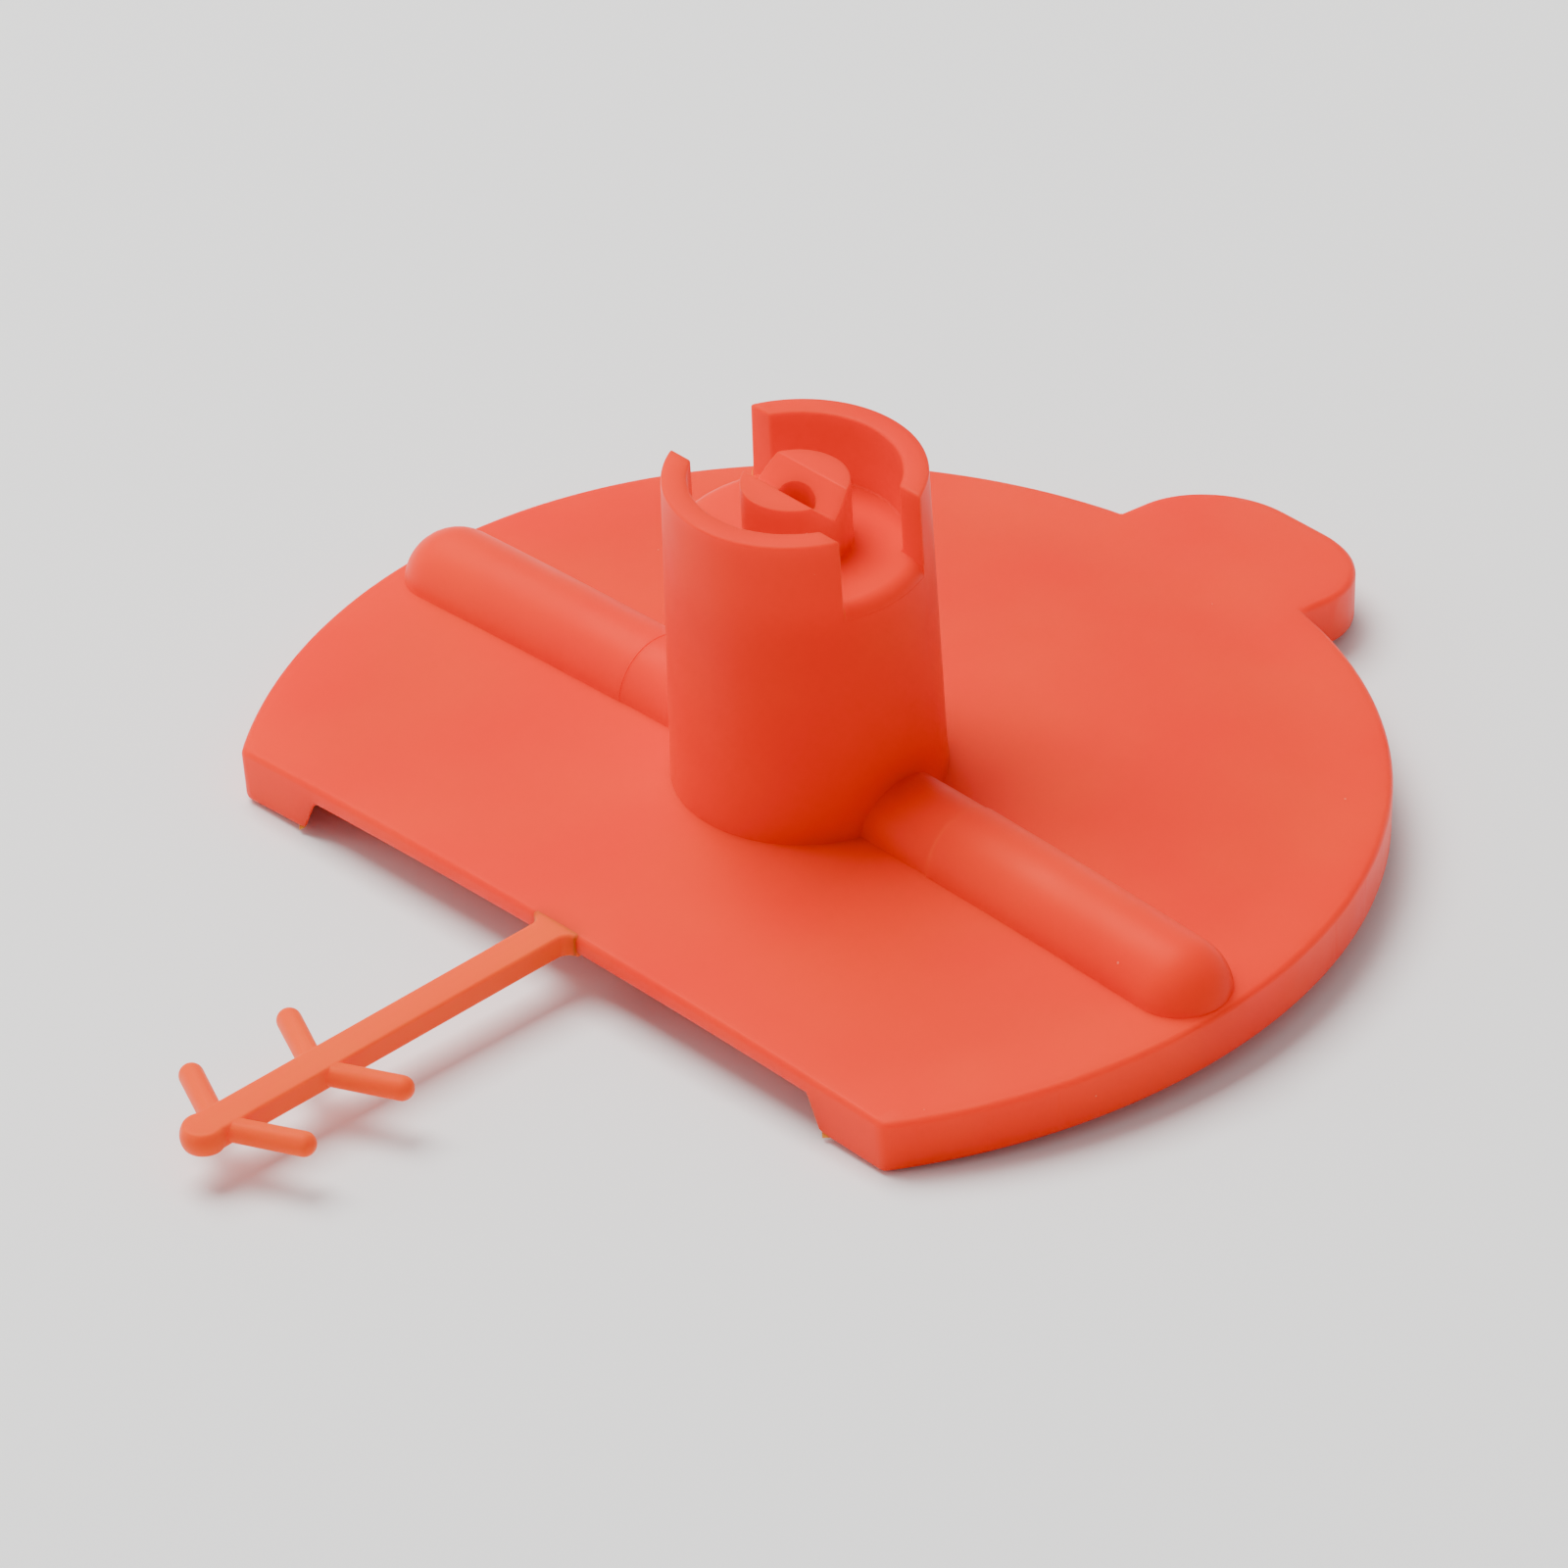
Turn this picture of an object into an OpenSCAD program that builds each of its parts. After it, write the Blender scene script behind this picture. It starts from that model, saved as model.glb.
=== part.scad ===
// Top plate of an ice fishing tip-up: a moulded round plate with a straight front edge,
// a crowned centre tower, two half-round ribs, a lift tab and a barbed line keeper.
// The tower stands on +Z, the line keeper points along -Y and the origin is at the mouth of
// the stem socket. The whole plate is bowed, more across the ribs than along them.

/* [Plate] */
// Radius of the round plate
plate_r = 27; // [26.8:0.1:28]
// Distance from the plate's centre to its straight front edge
chord_y = 16.2; // [15:0.1:18]
// Height of the plate's thick outer edge
edge_h = 2.8; // [2.2:0.1:3.4]
// How far the bowed plate drops at its edge along the ribs
bow_along = 0.84; // [0.4:0.02:1.2]
// How far the bowed plate drops at its edge across the ribs
bow_across = 1.89; // [1.3:0.01:2.4]
// Thickness of the thin deck inside the rim
deck_t = 1.05; // [0.8:0.05:1.4]
// Width of the thick rim
rim_w = 3.5; // [2:0.1:4]

/* [Lift tab] */
// Width of the tab across the plate
tab_w = 12.2; // [10:0.2:15]
// How far the tab reaches beyond the plate's edge
tab_reach = 5.6; // [4.8:0.1:7]
// Radius of the tab's two outer corners
tab_corner_r = 4.7; // [2:0.1:4.8]

/* [Tower] */
// Height of the tower above the plate's centre
tower_h = 16.23; // [14:0.01:20]
// Outer radius of the tower where it meets the plate
tower_base_r = 6.45; // [6.3:0.05:7]
// Outer radius of the tower's top
tower_top_r = 6.07; // [5.8:0.01:6.2]
// Radius of the pocket in the tower's top
pocket_r = 4.95; // [4.6:0.05:5.1]
// Radius of the stem socket that comes up from below
socket_r = 4.85; // [4.4:0.05:4.9]
// Depth of the pocket and of its two side notches
pocket_depth = 3.65; // [3:0.05:4.5]
// Thickness of the floor between pocket and socket
floor_t = 1.2; // [0.8:0.1:2]
// Width of the two side notches
notch_w = 5; // [4:0.1:6]
// How far the socket's mouth stands out below the deck
mouth_lip = 0.45; // [0.2:0.05:1]

/* [Seat post] */
// Radius of the post that stands in the pocket
post_r = 2.55; // [2.2:0.05:3]
// How far the post's top lies below the tower's rim
post_drop = 0.42; // [0.2:0.01:1]
// Depth, and half the width, of the V-shaped seat
seat_depth = 1.1; // [0.8:0.02:1.5]
// Length of the wire slot through the post and the floor
slot_len = 2.3; // [1.6:0.1:3]
// Width of the wire slot
slot_w = 1.2; // [0.8:0.1:1.5]

/* [Ribs] */
// Radius of the half-round ribs
rib_r = 2.5; // [2.2:0.05:2.6]
// Distance from the centre to the middle of a rib's round end
rib_reach = 24.2; // [21:0.1:24.2]
// Depth of a rib's axis below the plate's top
rib_sink = 0.2; // [0.1:0.05:0.5]
// Wall left around the hollow in each rib
rib_wall = 1.3; // [0.9:0.1:1.5]
// Distance from the centre to the end of the collar next to the tower
collar_reach = 10.3; // [8:0.1:11]
// How far the collar lies below the rib's own surface
collar_step = 0.06; // [0.02:0.01:0.15]

/* [Line keeper] */
// Width of the keeper's arm
arm_w = 1.8; // [1.4:0.05:2]
// Thickness of the keeper's arm
arm_t = 1.2; // [1.2:0.05:1.4]
// Angle by which the keeper rises towards its end
arm_rise = 0.9; // [0:0.1:2]
// Distance from the plate's centre to the middle of the arm's round end
arm_reach = 37.75; // [37.5:0.05:42]
// Radius of the flattened ball at the arm's end
end_r = 1.1; // [1.05:0.05:1.4]
// Radius of the fillets where the arm leaves the plate
root_fillet = 0.6; // [0.3:0.1:1]
// Diameter of a barb
barb_d = 1.2; // [0.8:0.05:1.2]
// Length of a barb from the arm's middle line to the centre of its round tip
barb_len = 4.2; // [3:0.05:5]
// Angle by which the barbs lean back towards the plate
barb_lean = 25.5; // [10:0.5:35]
// Distance from the plate's centre to the roots of the inner pair of barbs
inner_barb_y = 30.95; // [28:0.05:32]
// Distance from the plate's centre to the roots of the outer pair of barbs
outer_barb_y = 36.9; // [34:0.05:37]

/* [Hidden] */
$fn = 96;
// Finer steps for the large, nearly flat bow of the plate
bow_fn = 720;
// Overshoot of a cutting tool past the face that it cuts
over = 1;
left = -1;
right = 1;
orange_red = "#EC5A3E";
light_orange = "#F4724A";

apex_z = deck_t + mouth_lip;
tower_top_z = apex_z + tower_h;
notch_z = tower_top_z - pocket_depth;
floor_z = notch_z - floor_t;
post_top_z = tower_top_z - post_drop;
seat_z = post_top_z - seat_depth;
// Radii of the bow along the ribs and across them, from its drop at the plate's edge
along_r = arc_radius(bow_along);
across_r = arc_radius(bow_across);
// Slope of the ribs, which follow the bow from the tower to their round ends
rib_foot_z = apex_z - plate_drop(along_r, tower_base_r) - rib_sink;
rib_end_z = apex_z - plate_drop(along_r, rib_reach) - rib_sink;
rib_tilt = atan((rib_foot_z - rib_end_z) / (rib_reach - tower_base_r));
rib_len = (rib_reach - tower_base_r) / cos(rib_tilt);
// Height of the plate's top at the middle of the straight front edge
chord_z = apex_z - plate_drop(across_r, chord_y);
// Length of the short arm root that carries the fillets
root_len = 1.5 * root_fillet;
// Radius of the hollows under the ribs, and how far out they reach, just inside the rim
hollow_r = rib_r - rib_wall;
hollow_len = plate_r - rim_w - hollow_r - tower_base_r;

function arc_radius(drop) = (plate_r * plate_r + drop * drop) / (2 * drop);
function plate_drop(radius, distance) = radius - sqrt(radius * radius - distance * distance);

// Everything that lies deeper than drop below the plate's bowed top: a wide barrel on its side
module below_top(drop) {
    translate([0, 0, apex_z - across_r - drop])
        rotate([0, 90, 0])
            rotate_extrude($fn = bow_fn)
                intersection() {
                    translate([across_r - along_r, 0])
                        circle(r = along_r, $fn = bow_fn);
                    translate([0, -plate_r - over])
                        square([across_r + over, 2 * (plate_r + over)]);
                }
}

// Upright cylinder that spans the whole height of the plate, as a tool
module plate_bar(r) {
    depth = bow_across + edge_h + tab_reach;
    translate([0, 0, apex_z - depth])
        cylinder(h = depth + over, r = r);
}

// Block in front of the straight edge, as a tool
module ahead_of_chord() {
    translate([-plate_r - over, -chord_y - plate_r, -plate_r])
        cube([2 * (plate_r + over), plate_r, 2 * plate_r]);
}

// The tower's outside as a solid cone that reaches down to the socket's mouth
module tower_cone() {
    taper = (tower_base_r - tower_top_r) / tower_h;
    cylinder(h = tower_top_z, r1 = tower_base_r + taper * apex_z, r2 = tower_top_r);
}

// Round-ended slot for the flag wire, as a tool that runs from bottom to top
module wire_slot(bottom, top) {
    reach = (slot_len - slot_w) / 2;
    translate([0, 0, bottom])
        linear_extrude(top - bottom)
            union() {
                for (side = [left, right])
                    translate([side * reach, 0])
                        circle(d = slot_w);
                square([2 * reach, slot_w], center = true);
            }
}

// Lays what stands on +Z along the bow, out from the tower's foot on one side of the X axis,
// with its +X pointing down
module along_rib(side) {
    rotate([0, 0, side > 0 ? 0 : 180])
        translate([tower_base_r, 0, rib_foot_z])
            rotate([0, 90 + rib_tilt, 0])
                children();
}

// The upper half of a round-ended bar that starts inside the tower, the outside of a rib
module rib_bar(side, r) {
    start = -tower_top_r / 2;
    along_rib(side)
        intersection() {
            union() {
                translate([0, 0, start])
                    cylinder(h = rib_len - start, r = r);
                translate([0, 0, rib_len])
                    sphere(r = r);
            }
            translate([-2 * r, -2 * r, start])
                cube([2 * r, 4 * r, rib_len + 2 * r - start]);
        }
}

// The hollow under a rib: a thinner round-ended bar that is open towards the plate's underside
module rib_hollow(side) {
    along_rib(side) {
        translate([0, 0, rib_wall])
            cylinder(h = hollow_len - rib_wall, r = hollow_r);
        translate([0, 0, hollow_len])
            sphere(r = hollow_r);
        translate([0, 0, hollow_len])
            rotate([0, 90, 0])
                cylinder(h = edge_h, r = hollow_r);
        translate([0, -hollow_r, rib_wall])
            cube([edge_h, 2 * hollow_r, hollow_len - rib_wall]);
    }
}

// Slab between two distances along one side of the X axis
module x_slab(side, from, to) {
    translate([side > 0 ? from : -to, -plate_r, -plate_r])
        cube([to - from, 2 * plate_r, 2 * plate_r]);
}

// Lifts the line keeper's end by turning it about the plate's front edge
module keeper_lift() {
    translate([0, -chord_y, chord_z])
        rotate([-arm_rise, 0, 0])
            translate([0, 0, -arm_t])
                children();
}

// The arm as a plain bar from behind the front edge to its end, in the keeper's own frame
module arm_bar() {
    translate([-arm_w / 2, chord_y - arm_reach, 0])
        cube([arm_w, arm_reach - chord_y + root_len, arm_t]);
}

// The arm's end, a ball flattened to the arm's thickness, in the keeper's own frame
module flat_ball() {
    translate([0, chord_y - arm_reach, 0])
        intersection() {
            translate([0, 0, arm_t / 2])
                sphere(r = end_r);
            translate([-2 * end_r, -2 * end_r, 0])
                cube([4 * end_r, 4 * end_r, arm_t]);
        }
}

module deck_plate() {
    color(orange_red)
        difference() {
            intersection() {
                plate_bar(plate_r - rim_w);
                below_top(0);
            }
            below_top(deck_t);
            ahead_of_chord();
            tower_cone();
            for (side = [left, right]) {
                rib(side);
                rib_collar(side);
                rib_hollow(side);
            }
        }
}

module rim_bead() {
    color(orange_red)
        difference() {
            intersection() {
                plate_bar(plate_r);
                below_top(0);
            }
            below_top(edge_h);
            plate_bar(plate_r - rim_w);
            ahead_of_chord();
            rib(left);
            rib(right);
        }
}

// Outline of the tab, from the middle of the rim to its two round corners
module tab_outline() {
    tab_y = plate_r + tab_reach;
    corner_x = tab_w / 2 - tab_corner_r;
    root_y = plate_r - rim_w / 2;
    union() {
        for (side = [left, right])
            translate([side * corner_x, tab_y - tab_corner_r])
                circle(r = tab_corner_r);
        translate([-corner_x, root_y])
            square([2 * corner_x, tab_y - root_y]);
        translate([-tab_w / 2, root_y])
            square([tab_w, tab_y - tab_corner_r - root_y]);
    }
}

module lift_tab() {
    color(orange_red)
        difference() {
            intersection() {
                translate([0, 0, -plate_r])
                    linear_extrude(2 * plate_r)
                        tab_outline();
                below_top(0);
            }
            below_top(edge_h);
            plate_bar(plate_r);
        }
}

// A slice of the tower's solid cone between two heights
module tower_slice(bottom, top) {
    intersection() {
        tower_cone();
        translate([0, 0, bottom])
            cylinder(h = top - bottom, r = plate_r);
    }
}

module tower_wall() {
    color(orange_red)
        difference() {
            tower_slice(0, floor_z);
            translate([0, 0, -over])
                cylinder(h = floor_z + 2 * over, r = socket_r);
        }
}

// Half of the notched crown, in front of the notches or behind them
module crown_half(side) {
    color(orange_red)
        difference() {
            intersection() {
                tower_cone();
                translate([-plate_r, side > 0 ? notch_w / 2 : -notch_w / 2 - plate_r, notch_z])
                    cube([2 * plate_r, plate_r, pocket_depth]);
            }
            translate([0, 0, notch_z - over])
                cylinder(h = pocket_depth + 2 * over, r = pocket_r);
        }
}

module crown_front() {
    crown_half(left);
}

module crown_back() {
    crown_half(right);
}

module pocket_floor() {
    color(orange_red)
        difference() {
            tower_slice(floor_z, notch_z);
            wire_slot(floor_z - over, notch_z + over);
        }
}

module seat_post() {
    color(orange_red)
        difference() {
            translate([0, 0, notch_z])
                cylinder(h = seat_z - notch_z, r = post_r);
            wire_slot(notch_z - over, seat_z + over);
        }
}

// One sloping side of the V-shaped seat
module seat_jaw(side) {
    color(orange_red)
        difference() {
            intersection() {
                translate([0, 0, seat_z])
                    cylinder(h = seat_depth, r = post_r);
                translate([-post_r, 0, seat_z])
                    rotate([90, 0, 90])
                        linear_extrude(2 * post_r)
                            polygon([
                                [0, 0],
                                [side * seat_depth, seat_depth],
                                [side * post_r, seat_depth],
                                [side * post_r, 0]
                            ]);
            }
            wire_slot(seat_z - over, post_top_z + over);
        }
}

module seat_jaw_front() {
    seat_jaw(left);
}

module seat_jaw_back() {
    seat_jaw(right);
}

module rib(side) {
    color(orange_red)
        difference() {
            intersection() {
                rib_bar(side, rib_r);
                x_slab(side, collar_reach, plate_r);
            }
            rib_hollow(side);
        }
}

module rib_left() {
    rib(left);
}

module rib_right() {
    rib(right);
}

// The slightly thinner stretch of a rib next to the tower
module rib_collar(side) {
    color(orange_red)
        difference() {
            intersection() {
                rib_bar(side, rib_r - collar_step);
                x_slab(side, 0, collar_reach);
            }
            rib_hollow(side);
            tower_cone();
        }
}

module rib_collar_left() {
    rib_collar(left);
}

module rib_collar_right() {
    rib_collar(right);
}

module arm_root() {
    base_w = arm_w + 2 * root_fillet;
    color(light_orange)
        intersection() {
            keeper_lift()
                difference() {
                    translate([-base_w / 2, -root_len, 0])
                        cube([base_w, 2 * root_len, arm_t]);
                    for (side = [left, right]) {
                        translate([side * base_w / 2, -root_fillet, -over])
                            cylinder(h = arm_t + 2 * over, r = root_fillet);
                        translate([side * base_w / 2 - root_fillet, -2 * root_len, -over])
                            cube([2 * root_fillet, 2 * root_len - root_fillet, arm_t + 2 * over]);
                    }
                }
            ahead_of_chord();
        }
}

module arm_stem() {
    color(light_orange)
        keeper_lift()
            difference() {
                arm_bar();
                translate([-arm_w, -root_len, -over])
                    cube([2 * arm_w, 3 * root_len, arm_t + 2 * over]);
                flat_ball();
            }
}

module arm_end() {
    color(light_orange)
        keeper_lift()
            flat_ball();
}

// Round-tipped barb that leaves the arm on one side
module barb(side, root_y) {
    color(light_orange)
        keeper_lift()
            difference() {
                translate([0, chord_y - root_y, arm_t / 2])
                    rotate([0, side * 90, side * barb_lean]) {
                        cylinder(h = barb_len, d = barb_d);
                        translate([0, 0, barb_len])
                            sphere(d = barb_d);
                    }
                translate([-arm_w / 2, chord_y - root_y - 2 * arm_w, 0])
                    cube([arm_w, 4 * arm_w, arm_t]);
                flat_ball();
            }
}

module barb_inner_left() {
    barb(left, inner_barb_y);
}

module barb_inner_right() {
    barb(right, inner_barb_y);
}

module barb_outer_left() {
    barb(left, outer_barb_y);
}

module barb_outer_right() {
    barb(right, outer_barb_y);
}

deck_plate();
rim_bead();
lift_tab();
tower_wall();
crown_front();
crown_back();
pocket_floor();
seat_post();
seat_jaw_front();
seat_jaw_back();
rib_left();
rib_right();
rib_collar_left();
rib_collar_right();
arm_root();
arm_stem();
arm_end();
barb_inner_left();
barb_inner_right();
barb_outer_left();
barb_outer_right();
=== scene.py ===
"""Top plate of an ice fishing tip-up as one satin orange moulding, with its stage."""

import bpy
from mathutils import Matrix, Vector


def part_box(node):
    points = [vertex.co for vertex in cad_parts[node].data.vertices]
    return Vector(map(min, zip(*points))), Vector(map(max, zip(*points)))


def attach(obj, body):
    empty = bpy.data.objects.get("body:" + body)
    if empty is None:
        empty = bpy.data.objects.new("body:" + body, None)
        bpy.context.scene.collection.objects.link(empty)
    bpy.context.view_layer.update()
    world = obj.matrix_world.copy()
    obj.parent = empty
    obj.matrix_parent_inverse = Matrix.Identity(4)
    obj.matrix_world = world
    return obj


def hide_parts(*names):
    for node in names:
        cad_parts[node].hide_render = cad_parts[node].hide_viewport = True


bl_info = {
    "name": "Tip-up top plate",
    "version": (1, 0, 0),
    "blender": (4, 5, 0),
    "location": "View3D > Sidebar > Tip-up",
    "description": "Builds the moulded top plate of an ice fishing tip-up around its fixed frame",
    "category": "Object",
}

import math

import bmesh
import bpy
from bpy.props import FloatProperty, FloatVectorProperty, IntProperty, PointerProperty
from mathutils import Matrix, Vector

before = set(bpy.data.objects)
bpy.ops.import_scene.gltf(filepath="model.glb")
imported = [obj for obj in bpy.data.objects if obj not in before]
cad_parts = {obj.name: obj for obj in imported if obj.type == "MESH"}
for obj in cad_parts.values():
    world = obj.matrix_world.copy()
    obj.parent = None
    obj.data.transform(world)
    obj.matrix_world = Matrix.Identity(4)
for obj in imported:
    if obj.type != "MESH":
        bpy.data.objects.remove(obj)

MM = 0.001

PLATE_LOW, PLATE_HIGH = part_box("rim_bead")
TAB_LOW, TAB_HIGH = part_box("lift_tab")
FLOOR_LOW, FLOOR_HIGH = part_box("pocket_floor")
CROWN_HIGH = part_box("crown_back")[1]
JAW_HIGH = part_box("seat_jaw_back")[1]
RIB_LOW, RIB_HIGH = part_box("rib_right")
END_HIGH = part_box("arm_end")[1]

# Height of the bowed plate's top at the tower's axis, above the stem socket's mouth
APEX_Z = 1.5 * MM
# Corners closer together than this are one corner
TINY = 0.001 * MM
# An edge that turns by more than this is rounded
ROUND_OVER = math.radians(30)
# An edge that turns by more than this once it is rounded is shaded as a crease
CREASE_OVER = math.radians(38)


# ---------------------------------------------------------------- settings


def length(name, description, default, smallest=0.0):
    """A length property in metres."""
    return FloatProperty(
        name=name, description=description, default=default, min=smallest, unit="LENGTH", precision=5
    )


def angle(name, description, degrees):
    """An angle property, given in degrees."""
    return FloatProperty(
        name=name, description=description, default=math.radians(degrees), subtype="ANGLE"
    )


def linear(hex_colour):
    """The linear colour of an sRGB hex value such as #EC5A3E."""
    def channel(text):
        value = int(text, 16) / 255
        return value / 12.92 if value <= 0.04045 else ((value + 0.055) / 1.055) ** 2.4
    return tuple(channel(hex_colour[i:i + 2]) for i in (1, 3, 5))


def colour(name, description, hex_colour):
    """A colour property, given as an sRGB hex value."""
    return FloatVectorProperty(
        name=name, description=description, default=linear(hex_colour),
        subtype="COLOR", size=3, min=0.0, max=1.0,
    )


class PlateSettings(bpy.types.PropertyGroup):
    """Sizes of the bowed round plate, its rim and its lift tab."""
    radius: length("Radius", "Radius of the round plate", PLATE_HIGH.x)
    front: length("Front edge", "Distance from the centre to the straight front edge", -PLATE_LOW.y)
    edge_height: length("Edge height", "Height of the rim and of the lift tab", 2.8 * MM)
    deck: length("Deck", "Thickness of the deck inside the rim", 1.05 * MM)
    draft: length("Draft", "How much the rim narrows towards its foot", 0.15 * MM)
    foot_radius: length("Foot radius", "Inner radius of the rim at its foot", 23.7 * MM)
    root_radius: length("Root radius", "Inner radius of the rim at the deck", 23.1 * MM)
    bow_along: length("Bow along", "Drop of the plate's edge along the ribs", 0.84 * MM)
    bow_across: length("Bow across", "Drop of the plate's edge across the ribs", 1.89 * MM)
    tab_width: length("Tab width", "Width of the lift tab", TAB_HIGH.x - TAB_LOW.x)
    tab_end: length("Tab end", "Distance from the centre to the tab's outer edge", TAB_HIGH.y)
    tab_corner: length("Tab corner", "Radius of the tab's outer corners", 4.7 * MM)
    edge_round: length("Edge rounding", "Rounding of the moulded edges", 0.3 * MM)
    grid: length("Grid", "Spacing of the mesh lines that let the plate bend", 1.5 * MM)


class TowerSettings(bpy.types.PropertyGroup):
    """Sizes of the crowned tower, its pocket and the post with the wire seat."""
    base_radius: length("Base radius", "Outer radius where the tower meets the plate", 6.45 * MM)
    top_radius: length("Top radius", "Outer radius of the crown", CROWN_HIGH.y)
    height: length("Height", "Height of the crown above the socket's mouth", CROWN_HIGH.z)
    pocket_radius: length("Pocket radius", "Radius of the pocket in the top", 4.95 * MM)
    socket_radius: length("Socket radius", "Radius of the stem socket", 4.85 * MM)
    notch_width: length("Notch width", "Width of the two side notches", 5.0 * MM)
    post_radius: length("Post radius", "Radius of the post in the pocket", JAW_HIGH.x)
    seat_depth: length("Seat depth", "Depth and half the width of the V-shaped seat", 1.1 * MM)
    slot_length: length("Slot length", "Length of the wire slot", 2.34 * MM)
    slot_width: length("Slot width", "Width of the wire slot", 1.2 * MM)
    post_round: length("Post rounding", "Rounding of the post's and the seat's edges", 0.07 * MM)
    lip_round: length("Lip rounding", "Rounding of the notch floors' outer lips", 0.8 * MM)
    edge_round: length("Edge rounding", "Rounding of the moulded edges", 0.13 * MM)


class RibSettings(bpy.types.PropertyGroup):
    """Sizes of the two half-round ribs and of the hollows under them."""
    radius: length("Radius", "Radius of the half-round ribs", RIB_HIGH.y)
    reach: length("Reach", "Distance from the centre to the middle of the round end", 24.2 * MM)
    sink: length("Sink", "Depth of the rib's axis below the plate's top", 0.2 * MM)
    wall: length("Wall", "Wall left around the hollow", 1.3 * MM)
    collar_reach: length("Collar reach", "Distance from the centre to the collar's end", RIB_LOW.x)
    collar_step: length("Collar step", "How far the collar lies below the rib", 0.06 * MM)


class KeeperSettings(bpy.types.PropertyGroup):
    """Sizes of the barbed line keeper."""
    width: length("Width", "Width of the arm", 1.8 * MM)
    thickness: length("Thickness", "Thickness of the arm", 1.2 * MM)
    reach: length("Reach", "Distance from the centre to the middle of the round end", 37.75 * MM)
    end_radius: length("End radius", "Radius of the flattened ball at the end", END_HIGH.x)
    rise: angle("Rise", "Angle by which the keeper rises towards its end", 0.9)
    fillet: length("Fillet", "Radius of the fillets where the arm leaves the plate", 0.6 * MM)
    barb_diameter: length("Barb diameter", "Diameter of a barb", 1.2 * MM)
    barb_length: length("Barb length", "From the arm's middle to the centre of the tip", 4.2 * MM)
    barb_lean: angle("Barb lean", "Angle by which the barbs lean back", 25.5)
    inner_barbs: length("Inner barbs", "Distance of the inner pair from the centre", 30.95 * MM)
    outer_barbs: length("Outer barbs", "Distance of the outer pair from the centre", 36.9 * MM)
    edge_round: length("Edge rounding", "Rounding of the arm's edges", 0.18 * MM)
    segments: IntProperty(name="Segments", description="Steps around a barb", default=32, min=12)


class FinishSettings(bpy.types.PropertyGroup):
    """Colours of the moulded polypropylene."""
    body: colour("Body", "Colour of the moulding in its thick walls", "#F21A06")
    # Painted light: the thin-wall colour is lighter and stands in for light that crosses a thin wall
    thin: colour("Thin section", "Colour where light passes through a thin wall", "#FF5E1C")
    bloom: colour("Bloom", "Pale haze on the surface", "#FFA284")
    scatter: length("Scatter", "How far light travels inside the plastic", 1.6 * MM)


class StageSettings(bpy.types.PropertyGroup):
    """Camera, floor and lights."""
    distance: length("Distance", "Distance from the camera to the plate's centre", 670.4 * MM)
    azimuth: angle("Azimuth", "Camera's turn about the tower", 47.92)
    elevation: angle("Elevation", "Camera's height above the plate", 35.035)
    roll: angle("Roll", "Turn of the picture about its middle", 2.964)
    lens: FloatProperty(name="Lens", description="Focal length in mm", default=332.38)
    aside: angle("Aside", "How far the camera aims to the left of the tower", 0.1004)
    below: angle("Below", "How far the camera aims below the plate's centre", 0.0833)
    floor: colour("Floor", "Colour of the floor", "#F6F6F6")


# ---------------------------------------------------------------- mesh helpers


def mesh_object(name, vertices, faces):
    """A new object in the scene from corner places and faces, with its normals outwards."""
    mesh = bpy.data.meshes.new(name)
    mesh.from_pydata([tuple(v) for v in vertices], [], [tuple(f) for f in faces])
    body = bmesh.new()
    body.from_mesh(mesh)
    bmesh.ops.remove_doubles(body, verts=body.verts, dist=TINY)
    bmesh.ops.recalc_face_normals(body, faces=body.faces)
    body.to_mesh(mesh)
    body.free()
    thing = bpy.data.objects.new(name, mesh)
    bpy.context.scene.collection.objects.link(thing)
    return thing


def settle(thing):
    """Turns an object's modifiers into plain mesh and removes them."""
    depsgraph = bpy.context.evaluated_depsgraph_get()
    depsgraph.update()
    mesh = bpy.data.meshes.new_from_object(thing.evaluated_get(depsgraph))
    thing.modifiers.clear()
    thing.data = mesh
    return thing


def combine(thing, tools, operation, crossing=False):
    """Joins tools to an object, or cuts them from it, and removes the tools. A tool may only be
    made of parts that run through each other if crossing is set."""
    for tool in tools:
        step = thing.modifiers.new(tool.name, "BOOLEAN")
        step.operation = operation
        step.solver = "EXACT"
        step.use_self = crossing
        step.object = tool
        settle(thing)
        bpy.data.objects.remove(tool)
    return thing


def round_edges(thing, width):
    """Rounds every edge that turns by more than a smooth wall's facets do."""
    step = thing.modifiers.new("Round edges", "BEVEL")
    step.width = width
    step.segments = 3
    step.limit_method = "ANGLE"
    step.angle_limit = ROUND_OVER
    step.use_clamp_overlap = False
    return settle(thing)


def finish_mesh(thing):
    """Smooth shading with crisp creases, weighted so that wide faces stay even."""
    mesh = thing.data
    mesh.shade_smooth()
    mesh.set_sharp_from_angle(angle=CREASE_OVER)
    step = thing.modifiers.new("Even shading", "WEIGHTED_NORMAL")
    step.keep_sharp = True
    step.weight = 100
    return settle(thing)


def lathe(name, profile, steps):
    """A closed solid of revolution about Z from (radius, height) points, from axis to axis."""
    vertices = []
    faces = []
    count = len(profile)
    for step in range(steps):
        turn = math.tau * step / steps
        vertices += [(r * math.cos(turn), r * math.sin(turn), z) for r, z in profile]
    for step in range(steps):
        here, there = step * count, (step + 1) % steps * count
        faces += [(here + i, there + i, there + i + 1, here + i + 1) for i in range(count - 1)]
    return mesh_object(name, vertices, faces)


def prism(name, low_outline, low_z, high_outline, high_z):
    """A solid between two outlines with the same number of points."""
    count = len(low_outline)
    vertices = [(x, y, low_z) for x, y in low_outline] + [(x, y, high_z) for x, y in high_outline]
    faces = [tuple(reversed(range(count))), tuple(range(count, 2 * count))]
    for i in range(count):
        j = (i + 1) % count
        faces.append((i, j, count + j, count + i))
    return mesh_object(name, vertices, faces)


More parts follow.
